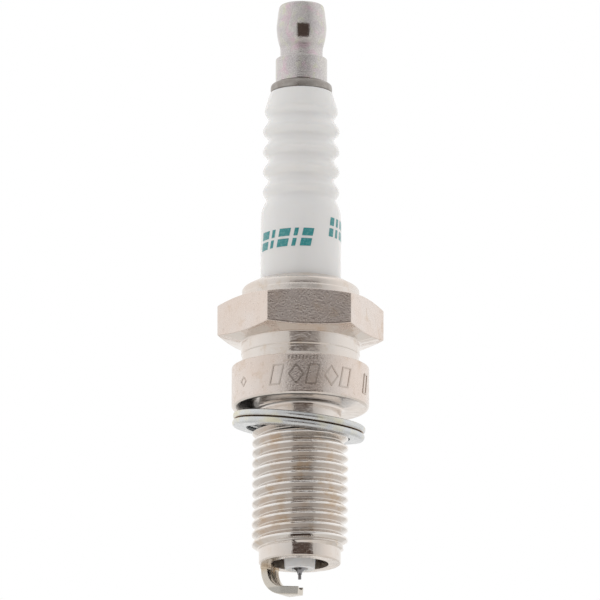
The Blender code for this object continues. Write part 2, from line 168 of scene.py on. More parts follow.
def rounded(outline, steps=4, closed=True, beside=0.05):
    """Turns an outline of (radius, height, rounding) points into (radius, height) points with eased corners.

    A point is set just beside each eased corner, so that the long straights are shaded flat.
    """
    points = []
    count = len(outline)
    for i, corner in enumerate(outline):
        here = Vector(corner[:2])
        ease = corner[2] if len(corner) > 2 else 0.0
        if ease == 0.0 or (not closed and i in (0, count - 1)):
            points.append(tuple(here))
            continue
        back = Vector(outline[i - 1][:2]) - here
        ahead = Vector(outline[(i + 1) % count][:2]) - here
        start = here + back.normalized() * min(ease, 0.48 * back.length)
        end = here + ahead.normalized() * min(ease, 0.48 * ahead.length)
        if beside and back.length > 2 * ease + 0.3:
            points.append(tuple(start + back.normalized() * beside))
        for k in range(steps + 1):
            t = k / steps
            points.append(tuple(start * (1 - t) ** 2 + here * 2 * t * (1 - t) + end * t * t))
        if beside and ahead.length > 2 * ease + 0.3:
            points.append(tuple(end + ahead.normalized() * beside))
    return points


def as_object(name, mesh_data, material, sharp_deg=38.0):
    """Links a finished bmesh as a smooth-shaded object."""
    bmesh.ops.remove_doubles(mesh_data, verts=mesh_data.verts, dist=1e-8)
    bmesh.ops.dissolve_degenerate(mesh_data, edges=mesh_data.edges, dist=1e-8)
    bmesh.ops.recalc_face_normals(mesh_data, faces=mesh_data.faces)
    mesh = bpy.data.meshes.new(name)
    mesh_data.to_mesh(mesh)
    mesh_data.free()
    mesh.materials.append(material)
    mesh.shade_smooth()
    mesh.set_sharp_from_angle(angle=math.radians(sharp_deg))
    piece = bpy.data.objects.new(name, mesh)
    piece.location = SEAT
    bpy.context.scene.collection.objects.link(piece)
    return piece


def turned(name, section_at, material, columns=128, sharp_deg=38.0):
    """A closed body turned about Z from the section at each angle.

    A thread's section moves on by one pitch in a full turn, so the last section meets the first one.
    """
    mesh_data = bmesh.new()
    grid = []
    for i in range(columns + 1):
        angle = 2 * math.pi * i / columns
        around = 0.0 if i == columns else angle
        out = Vector((math.cos(around), math.sin(around), 0.0))
        grid.append([mesh_data.verts.new((out * r + Vector((0, 0, z))) * MM) for r, z in section_at(angle)])
    for left, right in zip(grid, grid[1:]):
        for j in range(len(left)):
            k = (j + 1) % len(left)
            mesh_data.faces.new((left[j], right[j], right[k], left[k]))
    return as_object(name, mesh_data, material, sharp_deg)


def thread_points(angle, low_z, high_z, pitch, crest_r, root_r, relief_r, fades, start_deg=0.0, wear=0.006):
    """A rolled right-hand thread's section: a rounded root, straight flanks, and a crest with a faint seam.

    The flank is given as (share of the pitch, share of the depth). The thread fades into the relief radius
    over the two lengths in fades, and wear is how far its crests wander in and out.
    """
    depth = crest_r - root_r
    flank = [(0.0, 0.0), (0.05, 0.012), (0.09, 0.06), (0.125, 0.16), (0.4, 0.93), (0.43, 0.985), (0.455, 1.0)]
    shape = flank + [(0.5, 0.98)] + [(1.0 - share, height) for share, height in flank[:0:-1]]
    turn = (angle - math.radians(start_deg)) / (2 * math.pi)
    points = []
    for k in range(-2, math.ceil((high_z - low_z) / pitch) + 2):
        for share, height in shape:
            z = min(max(low_z + pitch * (k + share + turn), low_z), high_z)
            fade = min((z - low_z) / fades[0], (high_z - z) / fades[1], 1.0)
            spot = Vector((math.cos(angle) * crest_r, math.sin(angle) * crest_r, z))
            worn = wear * height * (noise.noise(spot * 2.2) + 0.6 * noise.noise(spot * 0.7))
            points.append((min(root_r + depth * height + worn, relief_r + (crest_r - relief_r) * fade), z))
    return points


def hexagon_radius(angle):
    """The hexagon's radius at an angle, with its corners turned off."""
    from_flat = (math.degrees(angle) % 60.0) - 30.0
    return min(FLAT_R / math.cos(math.radians(from_flat)), CORNER_R)


def shell_section(angle):
    """The steel shell's section at an angle: up the outside from the nose, then down the bore."""
    hex_r = hexagon_radius(angle)
    past_flat = hex_r - FLAT_R
    wander = 0.025 * noise.noise(Vector((math.cos(angle), math.sin(angle), 0.0)) * 14)
    under_z = HEX_LOW_Z + 0.25 * past_flat + wander
    over_z = HEX_HIGH_Z - 0.31 * past_flat
    below = [(NOSE_BORE_R, NOSE_Z, 0.08), (NOSE_R, NOSE_Z, 0.22), (NOSE_R, THREAD_LOW_Z)]
    thread = thread_points(
        angle,
        THREAD_LOW_Z,
        THREAD_HIGH_Z,
        THREAD_PITCH,
        THREAD_CREST_R,
        THREAD_ROOT_R,
        NOSE_R,
        (0.6, 0.75),
        THREAD_START_DEG,
        wear=0.014,
    )
    collar = [
        (NOSE_R, THREAD_HIGH_Z),
        (NOSE_R, 0.0, 0.45),
        (COLLAR_R, 0.0, 0.4),
        (COLLAR_R, COLLAR_TOP_Z, 0.14),
    ]
    waist = [
        (WAIST_R, COLLAR_TOP_Z, 0.45),
        (WAIST_R, BAND_LOW_Z, 0.06),
        (BAND_R, BAND_LOW_Z + 0.14, 0.06),
        (BAND_R, BAND_HIGH_Z, 0.05),
        (BAND_R + 0.1, BAND_HIGH_Z + 0.09, 0.05),
    ]
    hexagon = [
        (hex_r - 0.075, under_z, 0.03),
        (hex_r - 0.015, under_z + 0.06, 0.02),
        (hex_r, under_z + 0.18, 0.02),
        (hex_r, over_z - 0.06, 0.03),
        (hex_r - 0.06, over_z, 0.03),
    ]
    crimp = [
        (CRIMP_R + 0.4, HEX_HIGH_Z + 0.12, 0.1),
        (CRIMP_R + 0.1, HEX_HIGH_Z + 0.3, 0.1),
        (CRIMP_R + 0.08, CRIMP_Z - 1.83, 0.05),
        (CRIMP_R - 0.02, CRIMP_Z - 1.7, 0.05),
        (CRIMP_R, CRIMP_Z - 0.93, 0.5),
        (5.6, CRIMP_Z - 0.08, 0.6),
        (HEAD_R + 0.27, CRIMP_Z, 0.14),
        (HEAD_R + 0.1, CRIMP_Z - 0.35),
    ]
    bore = [
        (5.35, CRIMP_Z - 0.7, 0.2),
        (CAVITY_R, CRIMP_Z - 1.55, 0.2),
        (CAVITY_R, 4.9),
        (4.2, 3.5),
        (4.2, -6.5),
        (3.3, -7.4, 0.1),
        (3.3, -8.8),
        (NOSE_BORE_R, -9.1),
    ]
    above = rounded(collar + waist + hexagon + crimp + bore, 4, False)
    return rounded(below, 3, False) + thread + above


def insulator_outline():
    """The ceramic's outline: up its outside from the firing end, over the ribs, then down its bore.

    Going down, a rib widens over most of its pitch and narrows quickly. The last valley is shallower.
    """
    ribs = []
    steps, peak_at = 14, 0.62
    for i in range(RIB_COUNT * steps + 1):
        share = (i / steps) % 1.0
        if share < peak_at:
            rise = 0.5 - 0.5 * math.cos(math.pi * share / peak_at)
        else:
            rise = 0.5 + 0.5 * math.cos(math.pi * (share - peak_at) / (1 - peak_at))
        valley = LAST_VALLEY_R if i / steps > RIB_COUNT - 1 + peak_at else RIB_VALLEY_R
        ribs.append((valley + (RIB_PEAK_R - valley) * rise, RIB_TOP_Z - RIB_PITCH * i / steps))
    shoulder = [
        (2.75, -9.0, 0.3),
        (2.85, -7.3, 0.2),
        (3.0, -6.95, 0.1),
        (4.1, -5.85, 0.3),
        (4.1, 4.1, 0.4),
        (6.35, 5.5, 0.4),
        (6.35, 9.3, 0.5),
        (HEAD_R, 10.4, 0.3),
        (HEAD_R, 23.7, 1.3),
        (4.7, 24.7, 0.9),
        (LAST_VALLEY_R, 25.42, 0.5),
    ]
    top = [
        (RIB_VALLEY_R + 0.06, RIB_TOP_Z + 0.2, 0.2),
        (FLARE_R, 36.35, 0.5),
        (3.84, CERAMIC_HIGH.z, 0.22),
        (1.95, CERAMIC_HIGH.z, 0.1),
        (1.95, -6.2),
        (0.99, -6.9),
        (0.99, CERAMIC_LOW.z, 0.06),
        (1.84, CERAMIC_LOW.z, 0.34),
    ]
    return rounded(shoulder, 6, False) + ribs[::-1] + rounded(top, 5, False)


def nut_outline():
    """The barrel nut's outline: up its bore from the middle, down to the mouth, then up its outside."""
    low, high = NUT_LOW.z, NUT_HIGH.z
    bore_top = high - 1.65
    return rounded(
        [
            (0.0, bore_top + 0.6),
            (NUT_BORE_R, bore_top, 0.05),
            (NUT_BORE_R, low + 0.3, 0.05),
            (NUT_BORE_R + 0.3, low, 0.05),
            (BARREL_R, low, 0.12),
            (BARREL_R, low + 3.01, 0.16),
            (NUT_WAIST_R, low + 3.05, 0.12),
            (NUT_WAIST_R, NUT_WAIST_TOP_Z, 0.12),
            (2.87, 45.15, 0.3),
            (3.01, 45.9, 0.4),
            (3.095, 46.85, 0.4),
            (2.97, 47.9, 0.4),
            (2.86, 48.8, 0.3),
            (2.72, high - 0.14, 0.25),
            (2.35, high, 0.3),
            (0.9, high, 0.1),
            (0.0, high - 0.02),
        ],
        6,
        False,
    )


def stud_section(angle):
    """The terminal stud's section: a ringed foot in the glass, a flange on the ceramic, and an M4 thread."""
    flange_low = CERAMIC_HIGH.z + 0.02
    flange_high = NUT_LOW.z - 0.01
    root_r, crest_r, pitch = 1.57, 1.96, 0.7
    foot_z, ring_pitch, groove_r, ring_r = 6.5, 0.825, 1.44, 1.58
    foot = [(0.0, foot_z)]
    for ring in range(4):
        z = foot_z + ring_pitch * ring
        foot += [(groove_r, z, 0.05), (ring_r, z + 0.2, 0.05), (ring_r, z + 0.6, 0.05)]
    flange = [
        (1.8, 9.8),
        (1.8, flange_low),
        (3.78, flange_low, 0.16),
        (3.78, flange_high - 0.2, 0.55),
        (3.25, flange_high, 0.3),
        (root_r, flange_high),
    ]
    low, high = flange_high + 0.35, STUD_HIGH.z - 0.2
    thread = thread_points(angle, low, high, pitch, crest_r, root_r, root_r, (0.4, 0.4))
    tip = [(root_r, high), (root_r - 0.2, STUD_HIGH.z, 0.08), (0.0, STUD_HIGH.z)]
    return rounded(foot, 2, False) + rounded(flange, 6, False) + thread + rounded(tip, 3, False)


def sheath_outline():
    """The centre electrode's sheath: a flanged rod drawn down at the firing end in a hollow curve."""
    low, high = SHEATH_LOW.z, SHEATH_HIGH.z
    rod_r, core_r, flange_r, tip_r = 0.92, 0.56, 1.75, 0.23
    core_end_z, flange_top_z, wire_end_z = -17.4, -5.65, WIRE_HIGH.z + 0.04
    steps = 12
    cone = []
    for i in range(steps + 1):
        left = 1 - i / steps
        cone.append((0.27 + 0.55 * left**2.2, low + 0.69 * left))
    body = [
        (0.0, core_end_z),
        (core_r, core_end_z),
        (core_r, high),
        (rod_r, high, 0.05),
        (rod_r, flange_top_z),
        (flange_r, flange_top_z, 0.08),
        (flange_r, flange_top_z - 0.45, 0.08),
        (rod_r, flange_top_z - 1.1),
        (rod_r, low + 1.0, 0.1),
        (rod_r - 0.06, low + 0.72, 0.05),
    ]
    tip = [(tip_r, low), (tip_r, wire_end_z), (0.0, wire_end_z)]
    return rounded(body, 3, False) + cone + tip


def wire_outline():
    low, high, wire_r = WIRE_LOW.z, WIRE_HIGH.z, 0.2
    return rounded([(0.0, low), (wire_r, low, 0.05), (wire_r, high, 0.02), (0.0, high)], 3, False)


def arc(centre, radius, start_deg, end_deg, steps):
    points = []
    for i in range(steps + 1):
        angle = math.radians(start_deg + (end_deg - start_deg) * i / steps)
        points.append((centre[0] + radius * math.cos(angle), centre[1] + radius * math.sin(angle)))
    return points


def gasket_outline():
    """Four layers of sheet folded into one ring, with the sheet's own cut edges eased."""
    bore_r, lip_r, sheet, step = 6.42, 5.62, 0.375, 0.45
    half = step / 2
    roll = 0.6  # how far the outer folds bulge, as a share of a half circle
    out_r = GASKET_R - half * roll - sheet / 2
    in_r = bore_r + half + sheet / 2

    def fold(middle_z):
        return [(out_r + (r - out_r) * roll, z) for r, z in arc((out_r, middle_z), half, 90, -90, 12)]

    path = [
        (lip_r, 3 * half),
        (lip_r + 0.06, 3 * half),
        *fold(2 * half),
        *arc((in_r, 0.0), half, 90, 270, 10),
        *fold(-2 * half),
        (bore_r + 0.06, -3 * half),
        (bore_r, -3 * half),
    ]
    left, right = [], []
    for i, point in enumerate(path):
        along = (Vector(path[min(i + 1, len(path) - 1)]) - Vector(path[max(i - 1, 0)])).normalized()
        thickness = sheet * (0.7 if i in (0, len(path) - 1) else 1.0)
        across = Vector((-along.y, along.x)) * thickness / 2
        left.append(tuple(Vector(point) + across))
        right.append(tuple(Vector(point) - across))
    return left + right[::-1]


def gasket_placement():
    """Where the ring hangs: tipped about the joint's line, which touches its top edge on the high side."""
    pivot = Vector(TILT_JOINT["pos_m"])
    axis = Vector(TILT_JOINT["axis"]).normalized()
    tilt = Matrix.Rotation(math.radians(-GASKET_TILT_DEG), 4, axis)
    pivot_r, pivot_z = 8.0 * MM, 0.865 * MM
    low_side = axis.cross(Vector((0, 0, 1)))
    if (Matrix.Rotation(0.1, 3, axis) @ low_side).z < 0:
        low_side = -low_side
    centre = pivot + tilt.to_3x3() @ (low_side * pivot_r - Vector((0, 0, pivot_z)))
    return Matrix.Translation(centre) @ tilt


# ---------------------------------------------------------------------------------------------- materials


class Look:
    """A material's node tree. Its coordinates are in millimetres in the piece's own space."""

    def __init__(self, name, metallic, roughness):
        self.material = bpy.data.materials.new(name)
        self.material.use_nodes = True
        self.tree = self.material.node_tree
        self.shader = self.tree.nodes["Principled BSDF"]
        self.set(Metallic=metallic, Roughness=roughness)
        here = self.node("ShaderNodeTexCoord").outputs["Object"]
        scaled = self.node("ShaderNodeVectorMath", {0: here, "Scale": 1 / MM}, operation="SCALE")
        self.place = scaled.outputs["Vector"]
        split = self.node("ShaderNodeSeparateXYZ", {0: self.place})
        self.x, self.y, self.z = (split.outputs[axis] for axis in "XYZ")
        self.angle = self.math("ARCTAN2", self.y, self.x)
        flat = self.vector(self.x, self.y, 0.0)
        self.radius = self.node("ShaderNodeVectorMath", {0: flat}, operation="LENGTH").outputs["Value"]

    def put(self, socket, value):
        if isinstance(value, bpy.types.NodeSocket):
            self.tree.links.new(value, socket)
        elif socket.type == "RGBA" and len(value) == 3:
            socket.default_value = (*value, 1.0)
        else:
            socket.default_value = value

    def node(self, kind, inputs=None, **settings):
        made = self.tree.nodes.new(kind)
        for key, value in settings.items():
            setattr(made, key, value)
        for key, value in (inputs or {}).items():
            self.put(made.inputs[key], value)
        return made

    def set(self, **inputs):
        for key, value in inputs.items():
            self.put(self.shader.inputs[key.replace("_", " ")], value)

    def math(self, operation, a, b=0.0, c=0.0):
        return self.node("ShaderNodeMath", {0: a, 1: b, 2: c}, operation=operation).outputs[0]

    def vector(self, x, y, z):
        return self.node("ShaderNodeCombineXYZ", {0: x, 1: y, 2: z}).outputs[0]

    def noise(self, scale, detail=3.0, roughness=0.55, place=None, distortion=0.0):
        inputs = {"Scale": scale, "Detail": detail, "Roughness": roughness, "Distortion": distortion}
        inputs["Vector"] = self.place if place is None else place
        return self.node("ShaderNodeTexNoise", inputs).outputs["Fac"]

    def cells(self, scale, smoothness=0.6):
        inputs = {"Vector": self.place, "Scale": scale, "Smoothness": smoothness}
        return self.node("ShaderNodeTexVoronoi", inputs, feature="SMOOTH_F1").outputs["Distance"]

    def span(self, value, low, high, to_low=0.0, to_high=1.0):
        """Maps value from low..high to to_low..to_high with a smooth step."""
        inputs = {"Value": value, 1: low, 2: high, 3: to_low, 4: to_high}
        return self.node("ShaderNodeMapRange", inputs, interpolation_type="SMOOTHSTEP").outputs[0]

    def mix(self, share, a, b, blend="MIX"):
        made = self.node("ShaderNodeMix", data_type="RGBA", blend_type=blend)
        self.put(made.inputs[0], share)
        self.put(made.inputs[6], a)
        self.put(made.inputs[7], b)
        return made.outputs[2]

    def bump(self, height, depth_mm, strength=1.0, under=None):
        inputs = {"Height": height, "Strength": strength, "Distance": depth_mm * MM}
        if under is not None:
            inputs["Normal"] = under
        return self.node("ShaderNodeBump", inputs).outputs[0]

    def lathe(self, fineness=14.0, drift=0.5):
        """Noise drawn out round the axis, as a cutting tool leaves it."""
        place = self.vector(self.radius, self.math("MULTIPLY", self.angle, drift), self.z)
        inputs = {0: place, 1: (fineness, 1.0, fineness)}
        stretched = self.node("ShaderNodeVectorMath", inputs, operation="MULTIPLY")
        return self.noise(1.0, 3.0, 0.6, stretched.outputs[0])


NICKEL = (0.745, 0.672, 0.617)
NICKEL_WARM = (0.66, 0.55, 0.45)
NICKEL_COOL = (0.76, 0.715, 0.68)


def crimp_seam_painted_shade(look, colour):
    """Paints shade into the thin joint where the crimp's lip meets the ceramic: a dark ring of painted shade
    standing in for the gap's shadow.
    """
    near = look.span(look.radius, HEAD_R + 0.14, HEAD_R + 0.3, 1.0, 0.0)
    high = look.span(look.z, CRIMP_Z - 0.6, CRIMP_Z - 0.4)
    # Painted shade: the colour is pulled to near black where the lip meets the ceramic.
    return look.mix(look.math("MULTIPLY", near, high), colour, (0.12, 0.1, 0.09))


def nickel_base(look):
    """Nickel plate's colour: cool where thin, warm where it has begun to tarnish."""
    broad = look.span(look.noise(0.22, 3.0), 0.35, 0.7)
    colour = look.mix(broad, NICKEL_COOL, NICKEL)
    stains = look.span(look.noise(0.55, 4.0, 0.6), 0.54, 0.74, 0.0, 0.6)
    return look.mix(stains, colour, NICKEL_WARM)


def bright_nickel():
    """Turned nickel: close to a mirror at the nose, softer at the seat and waist, softest on the crimp."""
    look = Look("nickel_turned", 1.0, 0.14)
    rings = look.lathe()
    smudge = look.noise(0.7, 3.0)
    softer = look.span(look.z, -18.0, -3.0, 0.05, 0.13)
    softer = look.math("ADD", softer, look.span(look.z, NOSE_Z, NOSE_Z + 0.3, 0.16, 0.0))
    softer = look.math("ADD", softer, look.span(look.z, 9.0, 13.5, 0.0, 0.07))
    around = look.math("MULTIPLY", look.angle, 20.0)
    streaks = look.noise(1.0, 3.0, 0.6, look.vector(around, 0.0, look.math("MULTIPLY", look.z, 0.6)))
    streaks = look.math("MULTIPLY", streaks, look.span(look.z, THREAD_LOW_Z, THREAD_LOW_Z + 0.5, 1.0, 0.0))
    marks = look.bump(streaks, 0.01, 0.6, look.bump(rings, 0.004, 0.6))
    look.set(
        # The base colour carries the painted shade ring at the crimp's joint.
        Base_Color=crimp_seam_painted_shade(look, nickel_base(look)),
        Roughness=look.math("MULTIPLY", softer, look.span(smudge, 0.3, 0.75, 0.8, 1.6)),
        Normal=look.bump(look.noise(1.3, 2.0), 0.03, 0.5, marks),
    )
    return look.material


def pebbled_nickel():
    """Forged nickel of the hexagon and collar: grainy and pitted, with some dirt in the hollows."""
    look = Look("nickel_pebbled", 1.0, 0.3)
    grain = look.noise(5.5, 2.0, 0.5)
    fine = look.noise(14.0, 2.0, 0.6)
    pits = look.span(look.cells(2.4), 0.12, 0.4)
    height = look.math("ADD", look.math("MULTIPLY", grain, 1.0), look.math("MULTIPLY", fine, 0.35))
    height = look.math("ADD", height, look.math("MULTIPLY", pits, 0.25))
    dirt = look.span(look.noise(2.2, 5.0, 0.7), 0.56, 0.72, 0.0, 0.35)
    face = look.mix(1.0, nickel_base(look), (1.0, 0.965, 0.955), "MULTIPLY")
    look.set(
        Base_Color=look.mix(dirt, face, (0.42, 0.34, 0.28)),
        Roughness=look.span(look.noise(1.1, 4.0), 0.3, 0.7, 0.2, 0.3),
        Normal=look.bump(height, 0.022, 0.8),
    )
    return look.material


def struck_nickel_painted_shade():
    """Nickel squeezed up round a stamp: smoother than the pebbled face it stands on, and its colour painted a
    little darker as painted shade along the stamped lines.
    """
    look = Look("nickel_struck_painted_shade", 1.0, 0.12)
    rub = look.noise(6.0, 3.0)
    look.set(
        # Painted shade: the base colour is darkened so the stamped lines read as dark lines.
        Base_Color=look.mix(1.0, nickel_base(look), (0.8, 0.77, 0.75), "MULTIPLY"),
        Roughness=look.span(rub, 0.3, 0.7, 0.1, 0.2),
        Normal=look.bump(rub, 0.01, 0.5),
    )
    return look.material


def thread_nickel():
    """Rolled nickel of the thread: its crests' colour lifted as a painted highlight, with brown tarnish in
    patches.
    """
    look = Look("nickel_thread", 1.0, 0.2)
    crest = look.span(look.radius, THREAD_CREST_R - 0.14, THREAD_CREST_R - 0.03)
    # Painted highlight: the colour is raised on the crests and lowered a little on the flanks.
    crest_painted_highlight = look.mix(crest, (0.93, 0.94, 0.945), (1.22, 1.28, 1.34))
    colour = look.mix(1.0, nickel_base(look), crest_painted_highlight, "MULTIPLY")
    tarnish = look.span(look.noise(0.45, 4.0, 0.6), 0.52, 0.72, 0.0, 0.5)
    colour = look.mix(tarnish, colour, (0.6, 0.46, 0.31))
    nicks = look.noise(6.5, 3.0, 0.65)
    look.set(
        Base_Color=colour,
        Roughness=look.span(nicks, 0.35, 0.7, 0.03, 0.08),
        Normal=look.bump(nicks, 0.016, 0.5, look.bump(look.lathe(9.0, 1.5), 0.003, 0.5)),
    )
    return look.material


def bore_nickel_painted_shade():
    """The shell's bore, its colour darkened inwards from the nose as painted shade."""
    look = Look("nickel_bore_painted_shade", 1.0, 0.35)
    # Painted shade: depth takes the colour from mid nickel at the nose to near black inside.
    depth = look.span(look.z, NOSE_Z - 0.2, NOSE_Z + 4.0)
    look.set(
        Base_Color=look.mix(depth, (0.5, 0.44, 0.38), (0.16, 0.13, 0.11)),
        Roughness=look.span(look.noise(1.4), 0.3, 0.7, 0.25, 0.5),
        Normal=look.bump(look.lathe(6.0), 0.015, 0.7),
    )
    return look.material


def zinc_plate():
    """Zinc plate with pink and green passivation, speckled, and frosted in the nut's waist."""
    look = Look("zinc_plate", 1.0, 0.15)
    base = look.mix(look.span(look.noise(0.5, 2.0), 0.3, 0.7), (0.6, 0.57, 0.58), (0.66, 0.64, 0.62))
    pink = look.span(look.noise(0.62, 2.0, 0.5, distortion=0.6), 0.5, 0.72, 0.0, 0.65)
    base = look.mix(pink, base, (0.72, 0.53, 0.62))
    elsewhere = look.node("ShaderNodeVectorMath", {0: look.place, 1: (31.0, 17.0, 9.0)}, operation="ADD")
    green = look.span(look.noise(0.7, 2.0, 0.5, elsewhere.outputs[0], 0.6), 0.52, 0.74, 0.0, 0.6)
    base = look.mix(green, base, (0.66, 0.68, 0.52))
    speckle = look.span(look.noise(9.0, 3.0, 0.7), 0.36, 0.66, 0.82, 1.1)
    grey = look.vector(speckle, speckle, speckle)
    frost = look.noise(7.0, 3.0, 0.65)
    from_waist = look.math("ABSOLUTE", look.math("SUBTRACT", look.z, NUT_WAIST_TOP_Z))
    waist = look.span(from_waist, 0.1, 0.7, 0.3, 0.0)
    look.set(
        Base_Color=look.mix(1.0, base, grey, "MULTIPLY"),
        Roughness=look.math("ADD", waist, look.span(frost, 0.3, 0.7, 0.07, 0.13)),
        Normal=look.bump(frost, 0.012, 0.6, look.bump(look.lathe(8.0), 0.004, 0.5)),
    )
    return look.material


def gasket_zinc():
    """Zinc-plated sheet: cool grey, straw-coloured in places on the rim, brown in the fold between layers."""
    look = Look("gasket_zinc", 1.0, 0.22)
    cool = look.mix(look.span(look.noise(0.35, 3.0), 0.3, 0.7), (0.7, 0.72, 0.73), (0.6, 0.62, 0.65))
    rim = look.span(look.radius, GASKET_R - 0.24, GASKET_R, 0.0, 0.6)
    patchy = look.math("MULTIPLY", rim, look.span(look.noise(0.3, 2.0), 0.45, 0.65))
    colour = look.mix(patchy, cool, (0.76, 0.7, 0.46))
    groove = look.span(look.math("ABSOLUTE", look.z), 0.03, 0.14, 0.8, 0.0)
    groove = look.math("MULTIPLY", groove, look.span(look.radius, GASKET_R - 0.59, GASKET_R - 0.39))
    colour = look.mix(groove, colour, (0.5, 0.34, 0.18))
    marks = look.noise(2.4, 4.0, 0.6)
    look.set(
        Base_Color=colour,
        Roughness=look.span(marks, 0.3, 0.7, 0.24, 0.36),
        Normal=look.bump(marks, 0.01, 0.5, look.bump(look.lathe(5.0), 0.006, 0.4)),
    )
    return look.material


def turned_steel():
    look = Look("turned_steel", 1.0, 0.34)
    tone = look.mix(look.span(look.noise(0.9, 4.0), 0.3, 0.7), (0.33, 0.3, 0.28), (0.42, 0.4, 0.38))
    look.set(
        Base_Color=tone,
        Roughness=look.span(look.noise(2.0), 0.3, 0.7, 0.26, 0.44),
        Normal=look.bump(look.lathe(10.0), 0.012, 0.7),
    )
    return look.material


def glaze():
    """Glazed white ceramic, left bare and matt at the firing end."""
    look = Look("glazed_alumina", 0.0, 0.16)
    tone = look.mix(look.span(look.noise(0.12, 2.0), 0.3, 0.7), (0.88, 0.885, 0.895), (0.9, 0.9, 0.9))
    specks = look.span(look.noise(4.0, 2.0, 0.5), 0.735, 0.78, 0.0, 0.5)
    bare = look.span(look.z, CERAMIC_LOW.z + 10.0, CERAMIC_LOW.z + 14.0, 1.0, 0.0)
    look.set(
        Base_Color=look.mix(specks, tone, (0.6, 0.57, 0.52)),
        Roughness=look.mix(bare, (0.14, 0.14, 0.14), (0.5, 0.5, 0.5)),
        Normal=look.bump(look.noise(0.45, 2.0), 0.08, 0.25),
        Subsurface_Weight=0.25,
        Subsurface_Radius=(0.9, 0.8, 0.7),
        Subsurface_Scale=0.0012,
        Coat_Weight=look.math("SUBTRACT", 0.6, look.math("MULTIPLY", bare, 0.6)),
        Coat_Roughness=0.05,
    )
    return look.material


def ink():
    """Printed ink under the glaze's shine, a little worn."""
    look = Look("teal_ink", 0.0, 0.25)
    worn = look.span(look.noise(3.0, 4.0, 0.7), 0.4, 0.7)
    look.set(
        Base_Color=look.mix(worn, (0.035, 0.28, 0.3), (0.07, 0.36, 0.37)),
        Roughness=look.span(worn, 0.0, 1.0, 0.2, 0.34),
        Normal=look.bump(look.noise(8.0), 0.01, 0.4),
        Coat_Weight=0.4,
        Coat_Roughness=0.06,
    )
    return look.material


def drawn_alloy(name, tint, heat, heat_from_z, heat_to_z):
    """Nickel alloy wire, drawn lengthwise, going towards a heat tint between two heights.

    Faces of the ground electrode's leg that turn sideways are painted darker, as painted shade.
    """
    look = Look(name, 1.0, 0.26)
    leg_z = WIRE_LOW.z - SPARK_GAP
    across_turn = math.radians(HOOK_TURN_DEG + 90)
    hot = look.span(look.z, heat_from_z, heat_to_z)
    patches = look.math("MULTIPLY", hot, look.span(look.noise(0.8), 0.25, 0.6))
    grain = look.noise(3.0, 4.0, 0.6)
    # Painted shade: faces whose normals turn towards the leg's sides are darkened.
    facing = look.node("ShaderNodeTexCoord").outputs["Normal"]
    across = Vector((math.cos(across_turn), math.sin(across_turn), 0.0))
    side = look.node("ShaderNodeVectorMath", {0: facing, 1: across}, operation="DOT_PRODUCT").outputs["Value"]
    side = look.span(look.math("ABSOLUTE", side), 0.8, 0.95)
    side = look.math("MULTIPLY", side, look.span(look.z, leg_z, leg_z + 0.3, 0.75, 0.0))
    look.set(
        Base_Color=look.mix(side, look.mix(patches, tint, heat), (0.4, 0.39, 0.37)),
        Roughness=look.span(grain, 0.3, 0.7, 0.18, 0.3),
        Normal=look.bump(grain, 0.008, 0.25),
    )
    return look.material


def plain(name, light, dark, metallic, roughness, scale):
    """A hidden part's material: two tones in grains, with matching roughness and bump."""
    look = Look(name, metallic, roughness)
    grain = look.noise(scale, 4.0, 0.65)
    look.set(
        Base_Color=look.mix(look.span(grain, 0.35, 0.65), dark, light),
        Roughness=look.span(grain, 0.3, 0.7, roughness * 0.8, min(roughness * 1.2, 1.0)),
        Normal=look.bump(grain, 0.02, 0.6),
    )
    return look.material


# ---------------------------------------------------------------------------------------------- pieces


def show(piece, body, slot, *nodes):
    """Puts a piece on its body and lets it stand for the CAD nodes named. The slot is not used."""
    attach(piece, body)
    if nodes:
        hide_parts(*nodes)
    return piece


def finish_shell(shell):
    """Gives the shell's faces their finish by where they lie: bore (its colour darkened inwards as painted shade),
    thread (its crests brightened as a painted highlight), hexagon and collar, or turned.
    """
    for finish in (thread_nickel(), pebbled_nickel(), bore_nickel_painted_shade()):
        shell.data.materials.append(finish)
    turned_i, thread_i, pebbled_i, bore_i = range(4)
    for face in shell.data.polygons:
        z = face.center.z / MM
        r = math.hypot(face.center.x, face.center.y) / MM
        if r < NOSE_BORE_R + 0.02 or (r < CAVITY_R + 0.05 and 3.0 < z < CRIMP_Z - 0.65):
            face.material_index = bore_i
        elif THREAD_LOW_Z + 0.2 < z < THREAD_HIGH_Z - 0.3:
            face.material_index = thread_i
        elif 0.3 < z < COLLAR_TOP_Z - 0.05 and r > COLLAR_R - 0.1:
            face.material_index = pebbled_i
        elif HEX_LOW_Z - 0.1 < z < HEX_HIGH_Z + 0.1 and r > FLAT_R - 0.3:
            face.material_index = pebbled_i
        else:
            face.material_index = turned_i


